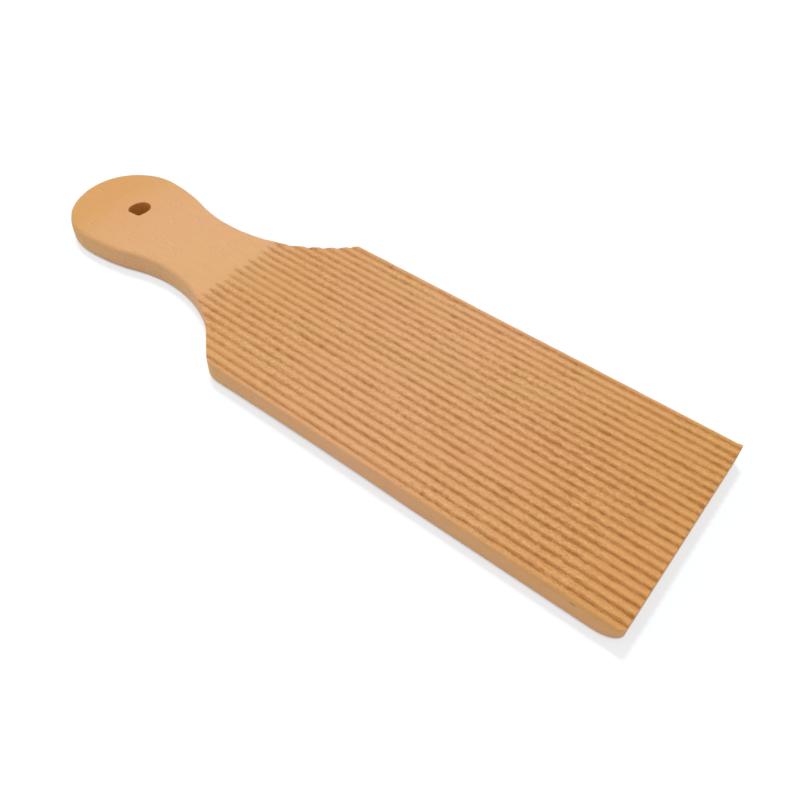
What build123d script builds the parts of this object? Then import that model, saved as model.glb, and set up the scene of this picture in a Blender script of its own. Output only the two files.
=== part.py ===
from build123d import *
import os
from math import acos, atan2, cos, degrees, sin, sqrt

# Gnocchi board: one piece of solid beech, ridged on its upper face, with a rounded handle.
# Sizes are in millimetres. X runs from the handle's end to the blade's end, Y runs across
# the board and Z points up. The origin lies under the middle of the board, on its flat face.

# Whole board
board_length = 199.5
blade_width = 60.5
thickness = 6.7

# Handle, a round bulb on a waisted neck that flares into the blade's shoulders. It was sawn and
# sanded by hand, so it is not quite even about the blade's centre line. Left is the +Y side.
bulb_radius = 17.3
bulb_offset = 0.15  # the bulb's centre stands this far left of the blade's centre line
flank_radius = 55.0
neck_width = 25.5
neck_offset = 0.6  # the neck's middle stands this far left of the blade's centre line
left_flare_radius = 47.0
left_flare_run = 3.5  # the flare runs on straight for this far, up to the shoulder
right_flare_radius = 39.0
right_flare_run = 11.2

# Hanging hole
hole_diameter = 6.6
hole_inset = 20.3  # from the handle's end to the hole's centre
hole_offset = 1.5  # from the blade's centre line to the hole's centre

# Ridges, left between round-bottomed grooves that run along the blade
groove_pitch = 2.6
groove_offset = -0.15  # from the blade's centre line to the middle groove
groove_depth = 0.65
groove_root_radius = 0.65
crest_skim = 0.1  # the ridges' tops lie this far under the handle's face
grooved_length = 138.0  # from the blade's end to the grooves' tips
runout_radius = 14.0  # the curve on which each groove rises to its tip

# Edges and corners, sanded
edge_round = 0.8
corner_round = 1.0
worn_shoulder_round = 7.0
worn_corner_length = 6.5  # along the blade's side, measured on the underside
worn_corner_width = 3.4  # along the blade's end, measured on the underside

# Cutting shapes run past the wood by this much
overrun = 2.0

# Places that follow from the sizes
half_width = blade_width / 2
blade_end = board_length / 2
handle_end = -board_length / 2
bulb_centre = Vector(handle_end + bulb_radius, bulb_offset)
flank_inset = flank_radius - bulb_radius


def handle_side(side, flare_radius, flare_run):
    """Points of the handle's outline on one side, from the bulb to the shoulder's corner."""
    bulb_side = bulb_centre + Vector(0, side * bulb_radius)
    flank_centre = bulb_centre - Vector(0, side * flank_inset)
    flare_y = neck_offset + side * (neck_width / 2 + flare_radius)
    span = flank_radius + flare_radius
    flare_x = bulb_centre.X + sqrt(span**2 - (flare_y - flank_centre.Y) ** 2)
    flare_centre = Vector(flare_x, flare_y)
    flank_end = flank_centre + (flare_centre - flank_centre) * (flank_radius / span)
    rise = side * flare_y - half_width
    slope = acos(rise / sqrt(flare_radius**2 + flare_run**2)) - atan2(flare_run, flare_radius)
    flare_end = flare_centre + Vector(sin(slope), -side * cos(slope)) * flare_radius
    shoulder = Vector(flare_end.X + flare_run * cos(slope), side * half_width)
    return bulb_side, flank_end, flare_end, shoulder


# The board's outline, seen from above
left_bulb, left_flank, left_flare, left_shoulder = handle_side(
    1, left_flare_radius, left_flare_run
)
right_bulb, right_flank, right_flare, right_shoulder = handle_side(
    -1, right_flare_radius, right_flare_run
)
with BuildSketch(Plane.XY) as outline:
    with BuildLine():
        ThreePointArc(left_bulb, Vector(handle_end, bulb_offset), right_bulb)
        RadiusArc(left_bulb, left_flank, flank_radius)
        RadiusArc(left_flank, left_flare, -left_flare_radius)
        RadiusArc(right_bulb, right_flank, -flank_radius)
        RadiusArc(right_flank, right_flare, right_flare_radius)
        Polyline(
            left_flare,
            left_shoulder,
            (blade_end, half_width),
            (blade_end, -half_width),
            right_shoulder,
            right_flare,
        )
    make_face()


# What wear took off the blade's corner, little at the top and most at the underside
corner = Vector(blade_end, -half_width)
worn_sizes = [(0, worn_corner_length, worn_corner_width), (thickness, corner_round, corner_round)]
with BuildPart() as worn_corner:
    for height, length, width in worn_sizes:
        with BuildSketch(Plane.XY.offset(height)):
            with BuildLine():
                EllipticalCenterArc(corner + Vector(-length, width), length, width, start_angle=-90)
                Polyline(
                    corner + Vector(0, width),
                    corner + Vector(overrun, width),
                    corner + Vector(overrun, -overrun),
                    corner + Vector(-length, -overrun),
                    corner + Vector(-length, 0),
                )
            make_face()
    loft()


# The ridging cutter's profile: the ridges' round crests, and the grooves' round roots
crest_top = thickness - crest_skim
root_bottom = crest_top - groove_depth
half_pitch = groove_pitch / 2
radii_sum = (half_pitch**2 + groove_depth**2) / (2 * groove_depth)
crest_radius = radii_sum - groove_root_radius
root_reach = half_pitch * groove_root_radius / radii_sum
root_rise = groove_root_radius * groove_depth / radii_sum
groove_count = int(blade_width // groove_pitch)  # as many as the blade is wide enough for
first_groove = groove_offset - groove_pitch * (groove_count - 1) / 2
last_groove = groove_offset + groove_pitch * (groove_count - 1) / 2
side_reach = half_width + overrun
cutter_top = thickness + overrun
full_depth = thickness - root_bottom
runout_length = sqrt(2 * runout_radius * full_depth - full_depth**2)
runout_start = blade_end - grooved_length + runout_length

with BuildSketch(Plane.YZ.offset(runout_start)) as cutter_profile:
    with BuildLine():
        Line((-side_reach, crest_top), (first_groove - half_pitch, crest_top))
        for groove in range(groove_count):
            middle = first_groove + groove * groove_pitch
            root_left = Vector(middle - root_reach, root_bottom + root_rise)
            root_right = Vector(middle + root_reach, root_bottom + root_rise)
            RadiusArc((middle - half_pitch, crest_top), root_left, crest_radius)
            ThreePointArc(root_left, (middle, root_bottom), root_right)
            RadiusArc(root_right, (middle + half_pitch, crest_top), crest_radius)
        Polyline(
            (last_groove + half_pitch, crest_top),
            (side_reach, crest_top),
            (side_reach, cutter_top),
            (-side_reach, cutter_top),
            (-side_reach, crest_top),
        )
    make_face()

cutter_axis = Axis((runout_start, 0, root_bottom + runout_radius), (0, 1, 0))
rising_angle = degrees(acos(1 - full_depth / runout_radius))
cutter_sweep = 2 * rising_angle


# The board
with BuildPart() as gnocchi_board:
    add(outline.sketch)
    extrude(amount=thickness)
    add(worn_corner.part, mode=Mode.SUBTRACT)

    upright_edges = gnocchi_board.edges().filter_by(Axis.Z)
    worn_shoulder = upright_edges.group_by(Axis.Y)[0].sort_by(Axis.X)[0]
    left_corners = upright_edges.group_by(Axis.Y)[-1]
    fillet(worn_shoulder, worn_shoulder_round)
    fillet(left_corners, corner_round)

    faces_by_height = gnocchi_board.faces().sort_by(Axis.Z)
    rims = faces_by_height[0].edges() + faces_by_height[-1].edges()
    fillet(rims, edge_round)

    extrude(cutter_profile.sketch, amount=grooved_length, mode=Mode.SUBTRACT)
    revolve(cutter_profile.sketch, axis=cutter_axis, revolution_arc=cutter_sweep, mode=Mode.SUBTRACT)

    with Locations((handle_end + hole_inset, hole_offset, thickness)):
        Hole(hole_diameter / 2)

gnocchi_board.part.label = "gnocchi_board"

os.makedirs("parts", exist_ok=True)
export_step(gnocchi_board.part, "parts/gnocchi_board.step")
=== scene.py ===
from math import acos, atan2, ceil, cos, pi, radians, sin, sqrt

import bpy
import numpy as np
from mathutils import Matrix, Vector
from mathutils.geometry import delaunay_2d_cdt
from mathutils.kdtree import KDTree


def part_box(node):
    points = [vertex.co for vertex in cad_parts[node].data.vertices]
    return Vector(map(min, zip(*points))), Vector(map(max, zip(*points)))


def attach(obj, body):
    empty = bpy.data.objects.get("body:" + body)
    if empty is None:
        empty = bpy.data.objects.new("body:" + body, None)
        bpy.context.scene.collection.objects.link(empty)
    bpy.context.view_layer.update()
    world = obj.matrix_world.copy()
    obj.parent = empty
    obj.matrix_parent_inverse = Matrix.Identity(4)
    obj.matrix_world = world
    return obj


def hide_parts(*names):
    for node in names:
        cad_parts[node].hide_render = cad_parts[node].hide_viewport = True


# A gnocchi board of one piece of solid beech. The blade's grooves were ploughed along the grain, so their
# walls are torn and fuzzy, and the handle, the rims and the sides were sanded by hand.
# Sizes and places are in millimetres until they go into a mesh, a lamp or the camera.
MM = 0.001

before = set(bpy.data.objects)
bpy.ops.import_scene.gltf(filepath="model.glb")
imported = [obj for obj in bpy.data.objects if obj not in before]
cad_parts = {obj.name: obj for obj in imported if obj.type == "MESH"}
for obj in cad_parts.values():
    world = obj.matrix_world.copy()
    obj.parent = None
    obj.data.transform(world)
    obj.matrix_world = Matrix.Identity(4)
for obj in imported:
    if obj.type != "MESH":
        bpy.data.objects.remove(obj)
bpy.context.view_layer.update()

board_low, board_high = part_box("gnocchi_board")
board_length = (board_high.x - board_low.x) / MM
blade_width = (board_high.y - board_low.y) / MM
thickness = (board_high.z - board_low.z) / MM

# Outline, as the solid has it. Left is the +Y side
bulb_radius = 17.3
bulb_offset = 0.15
flank_radius = 55.0
neck_width = 25.5
neck_offset = 0.6
left_flare_radius = 47.0
left_flare_run = 3.5
right_flare_radius = 39.0
right_flare_run = 11.2
corner_round = 1.0
worn_shoulder_round = 7.0
worn_corner_length = 6.5
worn_corner_width = 3.4
half_width = blade_width / 2
blade_end = board_length / 2
handle_end = -board_length / 2

# Hanging hole
hole_radius = 3.3
hole_inset = 20.3
hole_offset = 1.5
hole_lip = 0.1  # the rim of the hole is broken by this much

# Ridges
groove_pitch = 2.6
groove_offset = -0.15
groove_depth = 0.65
groove_root_radius = 0.65
crest_skim = 0.1
grooved_length = 138.0
runout_radius = 14.0
half_pitch = groove_pitch / 2
groove_count = int(blade_width // groove_pitch)
first_groove = groove_offset - groove_pitch * (groove_count - 1) / 2
crest_top = thickness - crest_skim
root_bottom = crest_top - groove_depth
radii_sum = (half_pitch**2 + groove_depth**2) / (2 * groove_depth)
crest_radius = radii_sum - groove_root_radius
root_reach = half_pitch * groove_root_radius / radii_sum
full_depth = thickness - root_bottom
runout_length = sqrt(2 * runout_radius * full_depth - full_depth**2)
runout_start = blade_end - grooved_length + runout_length

# How far behind the first each groove's tip lies, from the near side. The shoulders cut the outer ones off
near_tips, far_tips = [0.6] * 6, [0.2] * 6
tip_delays = np.array(near_tips + [0.5, 0.9, 0.6, 1.0, 0.1, 0.1, 0.9, 0.5, 0.9, 0.2, 0.0] + far_tips)

# Sanded rims. Round the handle's end they are crisp on the far side and well rounded on the near one
blade_rim = 0.8
near_rim = 1.4  # the near side is rounder along its upper rim
end_rim = 0.35  # the blade's end is crisper
end_blend = 0.5  # over which the upper rim changes to the end's
end_lead = 1.2  # times that, before the end, is where the change starts
tip_far_rim = 0.4
tip_near_rim = 1.8
tip_fall = 0.5  # the near rim of the handle's end falls this share further than it goes in
tip_rim_reach = 60.0  # from the handle's end to where the rims are as on the blade
tip_near_way = radians(262)  # the direction in which the handle's end is rounded most
tip_turn_from = -0.7  # the cosine of the angle from that direction at which the rounding starts
hand_change = 0.12  # the share by which a hand leaves the upper rim uneven, and over what length
hand_change_length = 2.6
near_lower_rim = 1.4  # under the near side, and rounder still about its middle
lower_swell = 0.75
swell_middle = 16.0
swell_reach = 34.0
far_corner_round = 0.4
room_growth = 0.45  # of the distance from a corner of the blade's end, so that its rims can't cross

# Mesh spacing: along the grain, across it and round the outline
step_along = 0.6
rows_per_pitch = 11
step_across = groove_pitch / rows_per_pitch
step_outline = 0.5
step_underside = 3.0
clear_of_rim = 0.3  # inner points nearer than this to a rim are left out
fine_lead = 2.0  # how far before the grooves' tips the fine rows start

# How many points go round an arc or a corner, and how many rings go up a rim, a side or the bore
fewest_arc_points = 6
corner_points = 16
hole_points = 72
lower_rim_rings, side_rings, upper_rim_rings = 5, 8, 7
upper_lip_rings, bore_rings, lower_lip_rings = 5, 7, 4


# Random relief

knot_count = 256  # the waves repeat after this many


def eased(share):
    """A share from 0 to 1 that changes gently near both."""
    return share * share * (3 - 2 * share)


def waves(along, across, length, width, seed):
    """Smooth random values from -1 to 1, with a new one about every length by width."""
    knots = np.random.default_rng(seed).uniform(-1, 1, (knot_count, knot_count))
    u, v = np.broadcast_arrays(along / length, across / width)
    i, j = np.floor(u).astype(int), np.floor(v).astype(int)
    s, t = eased(u - i), eased(v - j)
    i, next_i = i % knot_count, (i + 1) % knot_count
    j, next_j = j % knot_count, (j + 1) % knot_count
    near = knots[i, j] * (1 - s) + knots[next_i, j] * s
    far = knots[i, next_j] * (1 - s) + knots[next_i, next_j] * s
    return near * (1 - t) + far * t


# Outline

def arc(centre, radius, start, end):
    """Points round an arc, without its last one."""
    count = max(fewest_arc_points, ceil(abs(end - start) * radius / step_outline))
    angles = np.linspace(start, end, count, endpoint=False)
    return np.array(centre) + radius * np.c_[np.cos(angles), np.sin(angles)]


def run(start, end, step):
    """Points along a straight line, without its last one."""
    count = max(1, ceil(np.hypot(end[0] - start[0], end[1] - start[1]) / step))
    shares = np.linspace(0, 1, count, endpoint=False)[:, None]
    return np.array(start) * (1 - shares) + np.array(end) * shares


def handle_side(side, flare_radius, flare_run, shoulder_round):
    """Half of the handle's outline, from its end to where the blade's side starts."""
    bulb = np.array([handle_end + bulb_radius, side * bulb_offset])
    flank = bulb - np.array([0, flank_radius - bulb_radius])
    flare_out = side * neck_offset + neck_width / 2 + flare_radius
    span = flank_radius + flare_radius
    flare = np.array([bulb[0] + sqrt(span**2 - (flare_out - flank[1]) ** 2), flare_out])
    meeting = atan2(flare[1] - flank[1], flare[0] - flank[0])
    rise = flare_out - half_width
    slope = acos(rise / sqrt(flare_radius**2 + flare_run**2)) - atan2(flare_run, flare_radius)
    way = np.array([cos(slope), sin(slope)])
    flare_end = flare + flare_radius * np.array([sin(slope), -cos(slope)])
    shoulder = flare_end + flare_run * way
    cut_back = shoulder_round * (1 - cos(slope)) / sin(slope)
    round_centre = np.array([shoulder[0] + cut_back, half_width - shoulder_round])
    points = np.vstack([
        arc(bulb, bulb_radius, pi, pi / 2),
        arc(flank, flank_radius, pi / 2, meeting),
        arc(flare, flare_radius, meeting + pi, slope + 3 * pi / 2),
        run(flare_end, shoulder - cut_back * way, step_outline),
        arc(round_centre, shoulder_round, pi / 2 + slope, pi / 2),
        [[shoulder[0] + cut_back, half_width]],
    ])
    return points * np.array([1, side])


right_side = handle_side(-1, right_flare_radius, right_flare_run, worn_shoulder_round)
left_side = handle_side(1, left_flare_radius, left_flare_run, corner_round)
corner_turns = np.linspace(-pi / 2, 0, corner_points, endpoint=False)


def outline_at(height):
    """The outline at one height, counterclockwise. Only the worn corner changes with height."""
    worn = 1 - height / thickness
    length = corner_round + worn * (worn_corner_length - corner_round)
    width = corner_round + worn * (worn_corner_width - corner_round)
    corner = np.array([blade_end - length, width - half_width])
    far_corner = (blade_end - far_corner_round, half_width - far_corner_round)
    count = ceil((blade_end - right_side[-1, 0]) / step_outline)
    near_x = np.linspace(right_side[-1, 0], corner[0], count, endpoint=False)[1:]
    end_count = ceil(blade_width / step_across)
    end_y = np.linspace(corner[1], far_corner[1], end_count, endpoint=False)
    return np.vstack([
        right_side,
        np.c_[near_x, np.full(len(near_x), -half_width)],
        corner + np.c_[length * np.cos(corner_turns), width * np.sin(corner_turns)],
        np.c_[np.full(end_count, blade_end), end_y],
        arc(far_corner, far_corner_round, 0, pi / 2),
        run((far_corner[0], half_width), left_side[-1], step_outline),
        left_side[:0:-1],
    ])


def inward(points):
    """Unit directions into the wood, square to a counterclockwise outline."""
    ahead = np.roll(points, -1, 0) - np.roll(points, 1, 0)
    ahead /= np.linalg.norm(ahead, axis=1)[:, None]
    return np.c_[-ahead[:, 1], ahead[:, 0]]


# Ridges

# Small tear-outs, strewn at random along the grooves. Each is a smooth dent, and fades out at a few times
# its length and its width from its middle
tear_count = 420
tear_lead = 2.0  # how far before the grooves' full depth they start
tear_middle, tear_scatter = 0.3, 0.35  # how far they lie from a groove's root, to its far side
tear_lengths, tear_widths, tear_depths = (0.35, 1.2), (0.15, 0.3), (0.05, 0.22)
tear_fade = 3
rng = np.random.default_rng(7)
tear_x = rng.uniform(runout_start - tear_lead, blade_end, tear_count)
tear_groove = rng.integers(0, groove_count, tear_count)
tear_y = first_groove + groove_pitch * tear_groove + rng.normal(tear_middle, tear_scatter, tear_count)
tear_length = rng.uniform(*tear_lengths, tear_count)
tear_width = rng.uniform(*tear_widths, tear_count)
tear_depth = rng.uniform(*tear_depths, tear_count)
# Three long ones lie side by side at the near corner of the blade's end: x, y, length, width and depth
corner_tears = [
    (98.0, -28.4, 1.6, 0.12, 0.2),
    (98.4, -27.95, 1.3, 0.12, 0.18),
    (98.6, -27.5, 1.0, 0.12, 0.14),
]
tears = np.vstack([np.c_[tear_x, tear_y, tear_length, tear_width, tear_depth], corner_tears])

# Patches where the plough tore the wood more, broad ones with small ones in them: length and width
broad_patch, small_patch = (16.0, 7.0), (6.0, 3.0)
small_patch_share = 0.6
mean_roughness, roughness_reach = 0.45, 0.55
roughness_growth = 0.002  # for each millimetre towards the blade's end

# How far the grooves' walls wander to the side, and over what length
slow_wander, slow_length = 0.06, 6.0
quick_wander, quick_length = 0.05, 1.9
torn_wander, torn_spot = 0.2, (1.0, 0.4)

depth_change, depth_change_length = 0.05, 9.0  # the share by which a groove's depth changes
fuzz_height, broad_fuzz, fine_fuzz = 0.03, (1.7, 0.45), (0.9, 0.3)
sanding_change, sanding_patch = 0.03, (14.0, 9.0)
blend_height = 0.03  # over which the ploughed face runs into the sanded one
ploughed_height = 0.15  # over which the ploughed look fades in below the sanded face
least_ploughed = 0.3  # how much of that look the wood has where it is not torn

# Where shade is painted into the grooves and tear-outs, with the torn wood's darker colour
shade_lean = 0.25  # how far to the far side of the roots the painted shade lies, amid the board
shade_lean_growth = 0.002
shade_from = 0.72  # of the groove's depth, where the painted shade on its wall starts
least_depth = 0.02
full_shade_depth = 0.09  # a groove that is shallower gets less painted shade
shade_growth = 0.003  # for each millimetre towards the blade's end
shade_loss = 0.005  # for each millimetre towards the far side
tear_shade = 2  # how much painted shade a tear-out as deep as a groove gets
# the most painted shade that any point gets
deepest_shade = 1.5


def roughness_at(x, y):
    """How torn the ploughed wood is, from 0 to 1, in patches and more so towards the blade's end."""
    patch = waves(x, y, *broad_patch, seed=15) + small_patch_share * waves(x, y, *small_patch, seed=16)
    return np.clip(mean_roughness + roughness_reach * patch + roughness_growth * x, 0, 1)


def groove_hollow(x, y):
    """How far the plough's cut lies under the crests, from 0 to the grooves' depth."""
    wall_y = y + half_pitch / 2
    wander = slow_wander * waves(x, wall_y, slow_length, half_pitch, seed=11)
    wander += quick_wander * waves(x, wall_y, quick_length, half_pitch, seed=12)
    wander += torn_wander * waves(x, wall_y, *torn_spot, seed=14) * roughness_at(x, y)
    groove = np.clip(np.round((y + wander - first_groove) / groove_pitch), 0, groove_count - 1)
    off = np.minimum(np.abs(y + wander - first_groove - groove_pitch * groove), half_pitch)
    root = groove_depth - groove_root_radius + np.sqrt(
        np.clip(groove_root_radius**2 - off**2, 0, None))
    wall = crest_radius - np.sqrt(crest_radius**2 - (half_pitch - off) ** 2)
    hollow = np.where(off < root_reach, root, wall)
    hollow *= 1 - depth_change + depth_change * waves(x, groove, depth_change_length, 1.0, seed=13)
    return hollow, groove.astype(int)


def torn(x, y):
    """How deep the small tear-outs along the grooves are."""
    depth = np.zeros(len(x))
    for at_x, at_y, length, width, deep in tears:
        close = (np.abs(x - at_x) < tear_fade * length) & (np.abs(y - at_y) < tear_fade * width)
        near = np.flatnonzero(close)
        reach = ((x[near] - at_x) / length) ** 2 + ((y[near] - at_y) / width) ** 2
        depth[near] = np.maximum(depth[near], deep * np.exp(-reach))
    return depth


def top_surface(x, y):
    """Heights of the upper face. With them, the painted shade in the grooves and tear-outs, with the torn
    wood's darker colour, and how torn the plough left the wood.
    """
    hollow, groove = groove_hollow(x, y)
    past = np.clip(runout_start + tip_delays[groove] - x, 0, runout_radius)
    lift = runout_radius - np.sqrt(runout_radius**2 - past**2)
    rough = roughness_at(x, y)
    fuzz = fuzz_height * waves(x, y, *broad_fuzz, seed=21) + fuzz_height * waves(x, y, *fine_fuzz, seed=22)
    tear = torn(x, y)
    cut = crest_top - hollow + lift + fuzz * rough - tear
    sanded = thickness - sanding_change - sanding_change * waves(x, y, *sanding_patch, seed=23)
    heights = -blend_height * np.logaddexp(-cut / blend_height, -sanded / blend_height)
    ploughed = np.clip((sanded - cut) / ploughed_height + 0.5, 0, 1)
    ploughed *= least_ploughed + (1 - least_ploughed) * rough

    # The walls that face the near side face away from the far lamp, so shade is painted on them, a little to
    # the far side of the roots, with the torn wood's darker colour. It is strongest towards the blade's end
    # and the near side
    lean = shade_lean + shade_lean_growth * (x + y)
    shaded_wall_hollow, _ = groove_hollow(x, y - lean)
    deep = np.maximum(full_depth - lift, least_depth)
    share = np.clip(((crest_skim + shaded_wall_hollow - lift) / deep - shade_from) / (1 - shade_from), 0, 1)
    share = eased(share) * np.clip(deep / full_shade_depth, 0, 1)
    shade_and_tear = share * (1 + shade_growth * x) * (1 - shade_loss * y) + tear_shade * tear / groove_depth
    return np.minimum(heights, thickness), np.clip(shade_and_tear, 0, deepest_shade), ploughed


# Board mesh

def rim_sizes(points):
    """The rims' rounding at each point of the outline, as uneven as a hand leaves it: the lower rim's size,
    how far in the upper rim goes and how far down it goes."""
    turn = np.linalg.norm(points - np.roll(points, 1, 0), axis=1).cumsum()
    tip = eased(np.clip(1 - (points[:, 0] - handle_end) / tip_rim_reach, 0, 1))
    near = np.clip(inward(points)[:, 1], 0, 1) ** 2
    facing = -inward(points) @ np.array([cos(tip_near_way), sin(tip_near_way)])
    turned = eased(np.clip((facing - tip_turn_from) / (1 - tip_turn_from), 0, 1))
    tip_size = tip_far_rim + (tip_near_rim - tip_far_rim) * turned
    upper = blade_rim + (near_rim - blade_rim) * near
    upper += (tip_size - upper) * tip
    upper *= 1 - hand_change + hand_change * waves(turn, 0.0, hand_change_length, 1.0, seed=31)
    at_end = np.clip((points[:, 0] - blade_end) / end_blend + end_lead, 0, 1)
    upper += (end_rim - upper) * at_end

    swell = np.clip(1 - ((points[:, 0] - swell_middle) / swell_reach) ** 2, 0, 1)
    lower = blade_rim + near * (near_lower_rim - blade_rim + lower_swell * swell)

    # Both stay small enough to turn the blade's corners
    from_far = np.hypot(points[:, 0] - blade_end, points[:, 1] - half_width)
    from_near = np.hypot(points[:, 0] - blade_end, points[:, 1] + half_width)
    room = far_corner_round / 2 + room_growth * from_far
    upper_room = np.minimum(room, corner_round / 2 + room_growth * from_near)
    upper = np.minimum(upper, upper_room)
    return np.minimum(lower, room), upper, upper * (1 + tip_fall * tip * turned)


def board_rings():
    """Closed rings of points from the underside's rim, up the sides, to the upper face's rim."""
    rings, shades_and_tears, cuts = [], [], []
    lower, upper, fall = rim_sizes(outline_at(thickness))
    for turn in np.linspace(0, pi / 2, lower_rim_rings)[:-1]:
        points = outline_at(blade_rim * (1 - cos(turn)))
        points = points + inward(points) * (lower * (1 - sin(turn)))[:, None]
        rings.append(np.c_[points, lower * (1 - cos(turn))])
    for share in np.linspace(0, 1, side_rings)[:-1]:
        points = outline_at(blade_rim + share * (thickness - 2 * blade_rim))
        rings.append(np.c_[points, lower + share * (thickness - fall - lower)])
    for ring in rings:
        shades_and_tears.append(np.zeros(len(ring)))
        cuts.append(np.zeros(len(ring)))
    for turn in np.linspace(0, pi / 2, upper_rim_rings):
        points = outline_at(thickness - blade_rim * (1 - sin(turn)))
        points = points + inward(points) * (upper * (1 - cos(turn)))[:, None]
        cut, shade_and_tear, ploughed = top_surface(points[:, 0], points[:, 1])
        heights = thickness - fall * (1 - sin(turn))
        rings.append(np.c_[points, np.minimum(heights, cut)])
        opened = np.where(cut < heights, 1, turn / (pi / 2))
        shades_and_tears.append(shade_and_tear * opened)
        cuts.append(ploughed * opened)
    return rings, shades_and_tears, cuts


hole_centre = np.array([handle_end + hole_inset, hole_offset])
hole_turns = np.linspace(0, 2 * pi, hole_points, endpoint=False)
# Where fibres stand in the bore or are torn out of it: the direction, how wide, and how far out
mouth_lobes = [(90, 42, 0.35), (172, 32, -0.35), (278, 30, -0.58), (0, 38, -0.5), (318, 12, 0.32)]
mouth_fade = 3  # the higher this is, the sooner the bore is round below its mouth
mouth_change, mouth_change_turn = 0.06, 0.2  # how uneven the mouth is besides, and over how many radians
bore_roughness = 0.05
bore_patch = (0.3, 0.4)  # in radians round the bore, and as a share of its length


def hole_mouth():
    """The bore's radius at its mouth, all round. The bit left it ragged."""
    radius = np.full(len(hole_turns), hole_radius)
    for direction, spread, size in mouth_lobes:
        away = (hole_turns - radians(direction) + pi) % (2 * pi) - pi
        radius += size * np.exp(-((away / radians(spread)) ** 2))
    return radius + mouth_change * waves(hole_turns, 0.0, mouth_change_turn, 1.0, seed=41)


def hole_rings():
    """Closed rings of points down the hole, from its upper lip to its lower one."""
    around = np.c_[np.cos(hole_turns), np.sin(hole_turns)]
    mouth = hole_mouth()
    rings = []
    for turn in np.linspace(0, pi / 2, upper_lip_rings):
        points = hole_centre + around * (mouth + hole_lip * (1 - sin(turn)))[:, None]
        top, _, _ = top_surface(points[:, 0], points[:, 1])
        rings.append(np.c_[points, top - hole_lip * (1 - cos(turn))])
    wall_top = rings[-1][:, 2]
    for share in np.linspace(0, 1, bore_rings)[1:]:
        rough = bore_roughness * (1 + waves(hole_turns, share, *bore_patch, seed=42)) * sin(pi * share)
        radius = hole_radius + (mouth - hole_radius) * (1 - share) ** mouth_fade + rough
        points = hole_centre + around * radius[:, None]
        rings.append(np.c_[points, wall_top * (1 - share) + hole_lip * share])
    for turn in np.linspace(0, pi / 2, lower_lip_rings)[1:]:
        points = hole_centre + around * (hole_radius + hole_lip * (1 - cos(turn)))
        rings.append(np.c_[points, np.full(len(points), hole_lip * (1 - sin(turn)))])
    return rings


def filled(outer, hole, inner):
    """Triangles that fill a face between its rim and its hole, through the inner points."""
    rim = np.vstack([outer, hole])
    tree = KDTree(len(rim))
    for i, point in enumerate(rim):
        tree.insert((point[0], point[1], 0), i)
    tree.balance()
    clear = [tree.find((x, y, 0))[2] > clear_of_rim for x, y in inner]
    inner = inner[clear]
    points = [Vector(p) for p in np.vstack([rim, inner])]
    n, m = len(outer), len(hole)
    edges = [(i, (i + 1) % n) for i in range(n)] + [(n + i, n + (i + 1) % m) for i in range(m)]
    within_rim, merge_distance = 1, 1e-5
    _, _, made_faces, sources, _, _ = delaunay_2d_cdt(points, edges, [], within_rim, merge_distance)
    source = np.array([min(ids) for ids in sources])
    faces = source[np.array(made_faces)]
    over_hole = ((faces >= n) & (faces < n + m)).all(1)
    return inner, faces[~over_hole]


def inside_hole(points):
    """Whether each point lies over the hole."""
    return np.linalg.norm(points - hole_centre, axis=1) < hole_radius + 2 * hole_lip


def upper_points():
    """Staggered rows of points along the grain, closer together on the blade."""
    rows = np.arange(-half_width, half_width, step_across)
    start = runout_start - runout_length - fine_lead
    found = []
    for i, y in enumerate(rows):
        shift = step_along / 2 * (i % 2)
        if i % 2 == 0:
            xs = np.arange(handle_end + step_along * (i % 4 == 0) / 2, start, step_along)
            found.append(np.c_[xs, np.full(len(xs), y)])
        xs = np.arange(start + shift, blade_end, step_along)
        found.append(np.c_[xs, np.full(len(xs), y)])
    return np.vstack(found)


def under_points():
    """A coarse grid over the underside, which is flat."""
    xs = np.arange(handle_end, blade_end, step_underside)
    ys = np.arange(-half_width, half_width, step_underside)
    return np.stack(np.meshgrid(xs, ys), 2).reshape(-1, 2)


def band(first, second, count):
    """Quads between two closed rings of points, given where each ring starts."""
    i = np.arange(count)
    j = (i + 1) % count
    return np.c_[first + i, first + j, second + j, second + i]


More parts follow.
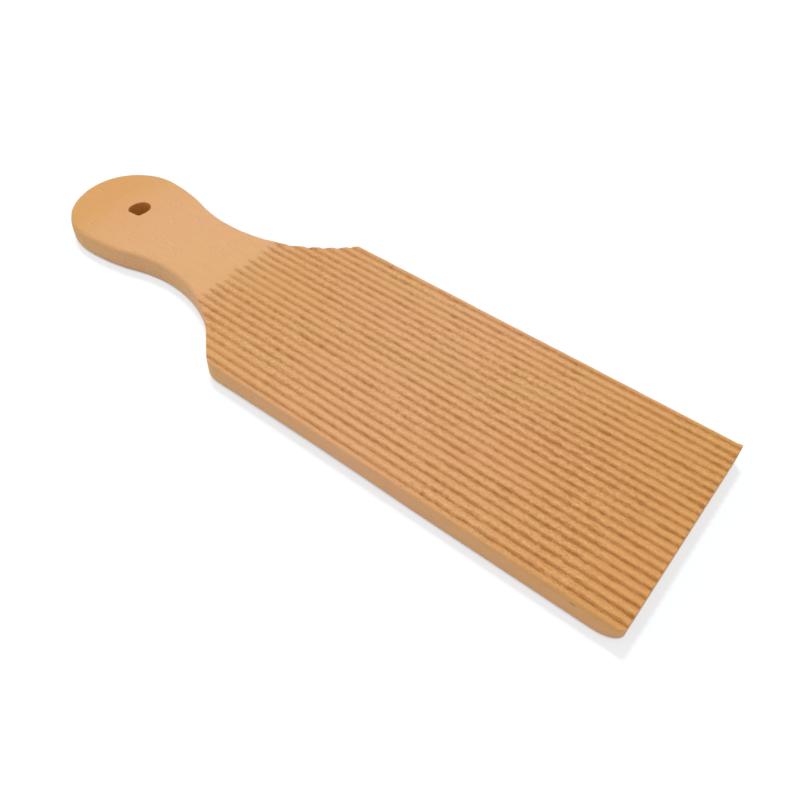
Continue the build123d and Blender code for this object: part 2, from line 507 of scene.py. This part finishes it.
def make_board():
    """The whole board as one closed mesh, marked for the colour where shade is painted, where it is ploughed
    and where it is bored.
    """
    rings, shades_and_tears, cuts = board_rings()
    bore = hole_rings()
    n, m = len(rings[0]), len(bore[0])
    ring_start = [i * n for i in range(len(rings))]
    bore_start = [len(rings) * n + i * m for i in range(len(bore))]
    faces = [band(a, b, n) for a, b in zip(ring_start, ring_start[1:])]
    faces += [band(a, b, m) for a, b in zip(bore_start, bore_start[1:])]
    faces = [face.tolist() for part in faces for face in part]

    inner = upper_points()
    inner, top_faces = filled(rings[-1][:, :2], bore[0][:, :2], inner[~inside_hole(inner)])
    heights, shade_and_tear, ploughed = top_surface(inner[:, 0], inner[:, 1])
    under = under_points()
    under, under_faces = filled(rings[0][:, :2], bore[-1][:, :2], under[~inside_hole(under)])
    top_start = len(rings) * n + len(bore) * m
    under_start = top_start + len(inner)
    top_ids = np.r_[ring_start[-1] + np.arange(n), bore_start[0] + np.arange(m),
                    top_start + np.arange(len(inner))]
    under_ids = np.r_[np.arange(n), bore_start[-1] + np.arange(m),
                      under_start + np.arange(len(under))]
    faces += top_ids[top_faces].tolist()
    faces += under_ids[under_faces][:, ::-1].tolist()

    points = np.vstack(rings + bore + [np.c_[inner, heights], np.c_[under, np.zeros(len(under))]])
    mesh = bpy.data.meshes.new("ridged_beech_board")
    mesh.from_pydata(points * MM, [], faces)
    mesh.validate()
    mesh.update()
    mesh.shade_smooth()

    rim_count = n * len(rings)
    marks = {name: np.zeros(len(points)) for name in ("shade_and_tear", "ploughed", "bored")}
    marks["shade_and_tear"][:rim_count] = np.concatenate(shades_and_tears)
    marks["shade_and_tear"][top_start:under_start] = shade_and_tear
    marks["ploughed"][:rim_count] = np.concatenate(cuts)
    marks["ploughed"][top_start:under_start] = ploughed
    marks["bored"][bore_start[upper_lip_rings - 1]:top_start] = 1
    for name, values in marks.items():
        mesh.attributes.new(name, "FLOAT", "POINT").data.foreach_set("value", values)

    board = bpy.data.objects.new("ridged_beech_board", mesh)
    bpy.context.collection.objects.link(board)
    return board


# Materials

def linear(hex_colour):
    """An sRGB hex colour as the linear colour that a shader takes."""
    shares = [int(hex_colour[i:i + 2], 16) / 255 for i in (1, 3, 5)]
    return [s / 12.92 if s <= 0.04045 else ((s + 0.055) / 1.055) ** 2.4 for s in shares] + [1]


def add_node(tree, kind, inputs=None, **settings):
    """Adds a node with its settings. An input is given a value, or the socket that it is linked to."""
    node = tree.nodes.new(kind)
    for name, value in settings.items():
        setattr(node, name, value)
    for name, value in (inputs or {}).items():
        if isinstance(value, bpy.types.NodeSocket):
            tree.links.new(value, node.inputs[name])
        else:
            node.inputs[name].default_value = value
    return node


def per_patch(length, width):
    """The scale of a pattern that changes over this length along the grain and this width across it."""
    return 1 / (length * MM), 1 / (width * MM), 1 / (width * MM)


# How ochre the wood is, at places along the board
ochre_shares = [(-90, 0.62), (-80, 0.25), (-66, 0.05), (-40, 0.05), (-26, 0.4),
                (0, 0.2), (25, 0.05), (60, 0.3), (84, 0.56), (98, 0.66)]

# A short slit in the near side, close to the blade's end: its middle and half its size
slit_middle = (88.45, -30.25, 5.0)
slit_reach = (1.0, 1.0, 0.2)


def sanded_beech():
    """Bare beech, ploughed and sanded. It is pinkish tan, and smooth on the handle, with short flecks along
    the grain. It scatters light softly with no shine. The grooves are torn, with light and dark fibres
    standing in them, and painted shade makes them browner, along with the torn wood's own darker colour."""
    material = bpy.data.materials.new("bare_sanded_beech")
    material.use_nodes = True
    tree = material.node_tree
    tree.nodes.clear()
    place = add_node(tree, "ShaderNodeTexCoord").outputs["Object"]
    shade_and_tear = add_node(tree, "ShaderNodeAttribute", attribute_name="shade_and_tear").outputs["Fac"]
    ploughed = add_node(tree, "ShaderNodeAttribute", attribute_name="ploughed").outputs["Fac"]
    bored = add_node(tree, "ShaderNodeAttribute", attribute_name="bored").outputs["Fac"]

    # Growth rings, cut nearly flat: broad pink and ochre patches, about 35 mm by 12 mm
    stretched = add_node(tree, "ShaderNodeMapping", {"Vector": place, "Scale": per_patch(35, 12)})
    bands = add_node(tree, "ShaderNodeTexNoise", {
        "Vector": stretched.outputs[0], "Scale": 1.0, "Detail": 1.5})
    band_share = add_node(tree, "ShaderNodeMapRange", {
        "Value": bands.outputs["Fac"], "From Min": 0.35, "From Max": 0.65})
    tan = add_node(tree, "ShaderNodeMix", {
        "Factor": band_share.outputs[0], "A": linear("#DEAB74"), "B": linear("#E1A878")}, data_type="RGBA")

    # The wood is more ochre at both ends of the board and at the ridges' tips. Down its sides it is painted
    # less ochre, so paler, as painted light that stands in for more light falling on them
    apart = add_node(tree, "ShaderNodeSeparateXYZ", {"Vector": place})
    along_share = add_node(tree, "ShaderNodeMapRange", {
        "Value": apart.outputs["X"], "From Min": handle_end * MM, "From Max": blade_end * MM})
    ochre_share = add_node(tree, "ShaderNodeValToRGB", {"Fac": along_share.outputs[0]})
    stops = ochre_share.color_ramp.elements
    while len(stops) < len(ochre_shares):
        stops.new(0.5)
    for stop, (x, share) in zip(stops, ochre_shares):
        stop.position = (x - handle_end) / board_length
        stop.color = (share, share, share, 1)
    height_share = add_node(tree, "ShaderNodeMapRange", {
        "Value": apart.outputs["Z"], "From Min": thickness / 2 * MM, "From Max": root_bottom * MM,
        "To Min": 0.4, "To Max": 1.0})
    ochre_depth = add_node(tree, "ShaderNodeMath", {
        0: ochre_share.outputs[0], 1: height_share.outputs[0]}, operation="MULTIPLY")
    ochre = add_node(tree, "ShaderNodeMix", {
        "Factor": ochre_depth.outputs[0], "A": tan.outputs[2], "B": linear("#D59846")}, data_type="RGBA")

    # Fibres, drawn 0.4 mm wide so that they show. The plough leaves them rougher than sanding does
    thin = add_node(tree, "ShaderNodeMapping", {"Vector": place, "Scale": per_patch(4, 0.4)})
    fibres = add_node(tree, "ShaderNodeTexNoise", {
        "Vector": thin.outputs[0], "Scale": 1.0, "Detail": 3.0, "Roughness": 0.6})
    fibre_reach = add_node(tree, "ShaderNodeMapRange", {"Value": ploughed, "To Min": 0.045, "To Max": 0.07})
    fibre_height = add_node(tree, "ShaderNodeMapRange", {
        "Value": fibres.outputs["Fac"], "From Min": 0.25, "From Max": 0.75, "To Min": -1.0, "To Max": 1.0})
    fibre_shade = add_node(tree, "ShaderNodeMath", {
        0: fibre_height.outputs[0], 1: fibre_reach.outputs[0], 2: 1.0}, operation="MULTIPLY_ADD")
    fibred = add_node(tree, "ShaderNodeMix", {
        "Factor": 1.0, "A": ochre.outputs[2], "B": fibre_shade.outputs[0]},
        data_type="RGBA", blend_type="MULTIPLY")

    # Rays: the short flecks of beech, about 1.1 mm by 0.45 mm, each with a light side
    spaced = add_node(tree, "ShaderNodeMapping", {"Vector": place, "Scale": per_patch(4, 1.6)})
    rays = add_node(tree, "ShaderNodeTexVoronoi", {"Vector": spaced.outputs[0], "Scale": 1.0})
    ray = add_node(tree, "ShaderNodeMapRange", {
        "Value": rays.outputs["Distance"], "From Min": 0.08, "From Max": 0.2, "To Min": 0.3, "To Max": 0.0})
    rayed = add_node(tree, "ShaderNodeMix", {
        "Factor": ray.outputs[0], "A": fibred.outputs[2], "B": linear("#B87A45")}, data_type="RGBA")
    light_spaced = add_node(tree, "ShaderNodeMapping", {
        "Vector": place, "Location": (0.05, 0.22, 0), "Scale": per_patch(4, 1.6)})
    light_rays = add_node(tree, "ShaderNodeTexVoronoi", {"Vector": light_spaced.outputs[0], "Scale": 1.0})
    light_ray = add_node(tree, "ShaderNodeMapRange", {
        "Value": light_rays.outputs["Distance"], "From Min": 0.08, "From Max": 0.2,
        "To Min": 0.25, "To Max": 0.0})
    flecked = add_node(tree, "ShaderNodeMix", {
        "Factor": light_ray.outputs[0], "A": rayed.outputs[2], "B": linear("#F2C79B")}, data_type="RGBA")

    # Torn fibres that stand in the ploughed wood, about 0.8 mm by 0.35 mm, some light and some dark
    tufts = add_node(tree, "ShaderNodeMapping", {"Vector": place, "Scale": per_patch(0.8, 0.35)})
    tuft = add_node(tree, "ShaderNodeTexNoise", {"Vector": tufts.outputs[0], "Scale": 1.0, "Detail": 1.0})
    light_tuft = add_node(tree, "ShaderNodeMapRange", {
        "Value": tuft.outputs["Fac"], "From Min": 0.56, "From Max": 0.72, "To Min": 0.0, "To Max": 0.65})
    light_share = add_node(tree, "ShaderNodeMath", {
        0: light_tuft.outputs[0], 1: ploughed}, operation="MULTIPLY")
    lit = add_node(tree, "ShaderNodeMix", {
        "Factor": light_share.outputs[0], "A": flecked.outputs[2], "B": linear("#F0C08C")},
        data_type="RGBA")
    dark_tuft = add_node(tree, "ShaderNodeMapRange", {
        "Value": tuft.outputs["Fac"], "From Min": 0.44, "From Max": 0.28, "To Min": 0.0, "To Max": 0.7})
    dark_share = add_node(tree, "ShaderNodeMath", {
        0: dark_tuft.outputs[0], 1: ploughed}, operation="MULTIPLY")
    tufted = add_node(tree, "ShaderNodeMix", {
        "Factor": dark_share.outputs[0], "A": lit.outputs[2], "B": linear("#B07538")}, data_type="RGBA")

    # Painted shade in the grooves and tear-outs, with the torn wood's darker colour, and thin darker scores
    # along them, about 2 mm by 0.3 mm
    depth = add_node(tree, "ShaderNodeMapRange", {"Value": shade_and_tear, "From Max": deepest_shade, "To Max": 0.9})
    shaded_grooves = add_node(tree, "ShaderNodeMix", {
        "Factor": depth.outputs[0], "A": tufted.outputs[2], "B": linear("#AC6F30")}, data_type="RGBA")
    scores = add_node(tree, "ShaderNodeMapping", {"Vector": place, "Scale": per_patch(2, 0.3)})
    score = add_node(tree, "ShaderNodeTexNoise", {"Vector": scores.outputs[0], "Scale": 1.0, "Detail": 1.0})
    score_depth = add_node(tree, "ShaderNodeMapRange", {
        "Value": score.outputs["Fac"], "From Min": 0.48, "From Max": 0.65, "To Min": 0.0, "To Max": 0.45})
    score_share = add_node(tree, "ShaderNodeMath", {
        0: score_depth.outputs[0], 1: shade_and_tear}, operation="MULTIPLY", use_clamp=True)
    scored = add_node(tree, "ShaderNodeMix", {
        "Factor": score_share.outputs[0], "A": shaded_grooves.outputs[2], "B": linear("#8E5724")},
        data_type="RGBA")

    # The drilled wall, painted darker and browner as shade in the bore
    drilled = add_node(tree, "ShaderNodeMix", {
        "Factor": bored, "A": scored.outputs[2], "B": linear("#CF8E44")}, data_type="RGBA")

    # The slit, where the grain opened, painted dark as the shade inside it
    from_slit = add_node(tree, "ShaderNodeVectorMath", {
        0: place, 1: [at * MM for at in slit_middle]}, operation="SUBTRACT")
    slit_sized = add_node(tree, "ShaderNodeVectorMath", {
        0: from_slit.outputs[0], 1: [1 / (reach * MM) for reach in slit_reach]}, operation="MULTIPLY")
    slit_way = add_node(tree, "ShaderNodeVectorMath", {0: slit_sized.outputs[0]}, operation="LENGTH")
    slit_share = add_node(tree, "ShaderNodeMapRange", {
        "Value": slit_way.outputs["Value"], "From Min": 0.5, "From Max": 1.0, "To Min": 0.8, "To Max": 0.0})
    slit = add_node(tree, "ShaderNodeMix", {
        "Factor": slit_share.outputs[0], "A": drilled.outputs[2], "B": linear("#6E4217")}, data_type="RGBA")

    # The fibres stand up a little, so the wood has a soft nap
    nap = add_node(tree, "ShaderNodeBump", {
        "Height": fibres.outputs["Fac"], "Strength": 0.35, "Distance": 0.08 * MM})
    wood = add_node(tree, "ShaderNodeBsdfPrincipled", {
        "Base Color": slit.outputs[2], "Roughness": 0.62, "IOR": 1.5, "Specular IOR Level": 0.3,
        "Normal": nap.outputs[0]})
    add_node(tree, "ShaderNodeOutputMaterial", {"Surface": wood.outputs[0]})
    return material


# The two lamps: how much of a level surface's light comes from each, the way to it, and how broad it looks.
# The rest of the light comes from all round
far_share, far_way, far_breadth = 0.37, (-2.6, 2.0, 6.7), radians(8)
near_share, near_way, near_breadth = 0.035, (-7.0, -6.0, 3.5), radians(60)
glow_share, glow = 0.5, 1.26  # how much of the paper's look to the camera is its own white, and how bright


def looked_at(tree):
    """A value that is 1 where the camera looks, also through or off a clear or glossy thing, and else 0."""
    rays = add_node(tree, "ShaderNodeLightPath")
    glossy = add_node(tree, "ShaderNodeMath", {
        0: rays.outputs["Is Camera Ray"], 1: rays.outputs["Is Glossy Ray"]}, operation="MAXIMUM")
    seen = add_node(tree, "ShaderNodeMath", {
        0: glossy.outputs[0], 1: rays.outputs["Is Transmission Ray"]}, operation="MAXIMUM")
    return seen.outputs[0]


def white_paper():
    """A sheet of white paper. To the camera part of its white is its own, so its shadow looks pale."""
    material = bpy.data.materials.new("white_paper")
    material.use_nodes = True
    tree = material.node_tree
    tree.nodes.clear()
    seen = looked_at(tree)
    # None of it gets into the gap where the board's lower rim meets the sheet: it fades there with ambient
    # occlusion, which paints a dark contact shadow
    gap = add_node(tree, "ShaderNodeAmbientOcclusion", {"Distance": 1.5 * MM}, samples=8)
    open_share = add_node(tree, "ShaderNodeMapRange", {
        "Value": gap.outputs["AO"], "From Min": 0.15, "From Max": 0.45,
        "To Min": 0.0, "To Max": glow_share})
    share = add_node(tree, "ShaderNodeMath", {0: seen, 1: open_share.outputs[0]}, operation="MULTIPLY")
    paper = add_node(tree, "ShaderNodeBsdfDiffuse", {"Color": linear("#E2EBF5")})
    white = add_node(tree, "ShaderNodeEmission", {"Color": linear("#FFFFFF"), "Strength": glow})
    mixed = add_node(tree, "ShaderNodeMixShader", {
        0: share.outputs[0], 1: paper.outputs[0], 2: white.outputs[0]})
    add_node(tree, "ShaderNodeOutputMaterial", {"Surface": mixed.outputs[0]})
    return material


# Stage, light and camera

def make_floor():
    """The sheet that the board lies on, a hair under it so that the two don't coincide."""
    half, drop = 2000, 0.02
    mesh = bpy.data.meshes.new("floor")
    corners = [(-half, -half, -drop), (half, -half, -drop), (half, half, -drop), (-half, half, -drop)]
    mesh.from_pydata([Vector(c) * MM for c in corners], [], [(0, 1, 2, 3)])
    floor = bpy.data.objects.new("floor", mesh)
    bpy.context.collection.objects.link(floor)
    mesh.materials.append(white_paper())


def make_light():
    """White light all round, a soft lamp beyond the board and a weak broad one low on the near side.
    Together they light a level surface so that a colour renders as it is written."""
    world = bpy.data.worlds.new("white_room")
    bpy.context.scene.world = world
    world.use_nodes = True
    tree = world.node_tree
    tree.nodes.clear()
    seen = looked_at(tree)
    room = add_node(tree, "ShaderNodeBackground", {
        "Color": linear("#FFFFFF"), "Strength": 1 - far_share - near_share})
    white = add_node(tree, "ShaderNodeBackground", {"Color": linear("#FFFFFF"), "Strength": 1.0})
    mixed = add_node(tree, "ShaderNodeMixShader", {0: seen, 1: room.outputs[0], 2: white.outputs[0]})
    add_node(tree, "ShaderNodeOutputWorld", {"Surface": mixed.outputs[0]})

    lamps = [
        ("far_lamp", far_way, far_breadth, far_share),
        ("near_lamp", near_way, near_breadth, near_share),
    ]
    for name, way, breadth, share in lamps:
        towards = Vector(way).normalized()
        lamp = bpy.data.lights.new(name, "SUN")
        lamp.angle = breadth
        lamp.energy = pi * share / towards.z
        lamp_object = bpy.data.objects.new(name, lamp)
        lamp_object.rotation_mode = "QUATERNION"
        lamp_object.rotation_quaternion = towards.to_track_quat("Z", "Y")
        bpy.context.collection.objects.link(lamp_object)


def make_camera():
    """The camera at the photograph's view, worked out from the evenly spaced ridges."""
    azimuth, elevation, roll = radians(36.08), radians(48.321), radians(-2.38)
    place = Vector((106.394, -118.333, 156.934)) * MM
    focal_pixels, image_pixels, sensor = 828.418, 800, 36.0
    middle_pixel = (image_pixels - 1) / 2
    principal_x, principal_y = 395.659, 399.070
    back = Vector((sin(azimuth) * cos(elevation), -cos(azimuth) * cos(elevation), sin(elevation)))
    level = (-back).cross(Vector((0, 0, 1))).normalized()
    down = (-back).cross(level)
    right = level * cos(roll) + down * sin(roll)
    up = level * sin(roll) - down * cos(roll)
    data = bpy.data.cameras.new("camera")
    data.sensor_width = sensor
    data.lens = focal_pixels / image_pixels * sensor
    data.shift_x = (middle_pixel - principal_x) / image_pixels
    data.shift_y = (principal_y - middle_pixel) / image_pixels
    data.clip_start = 1 * MM
    camera = bpy.data.objects.new("camera", data)
    turn = Matrix((right, up, back)).transposed()
    camera.matrix_world = Matrix.Translation(place) @ turn.to_4x4()
    bpy.context.collection.objects.link(camera)
    bpy.context.scene.camera = camera


board = make_board()
board.data.materials.append(sanded_beech())
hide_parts("gnocchi_board")
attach(board, "root")
make_floor()
make_light()
make_camera()
bpy.context.scene.view_settings.view_transform = "Standard"
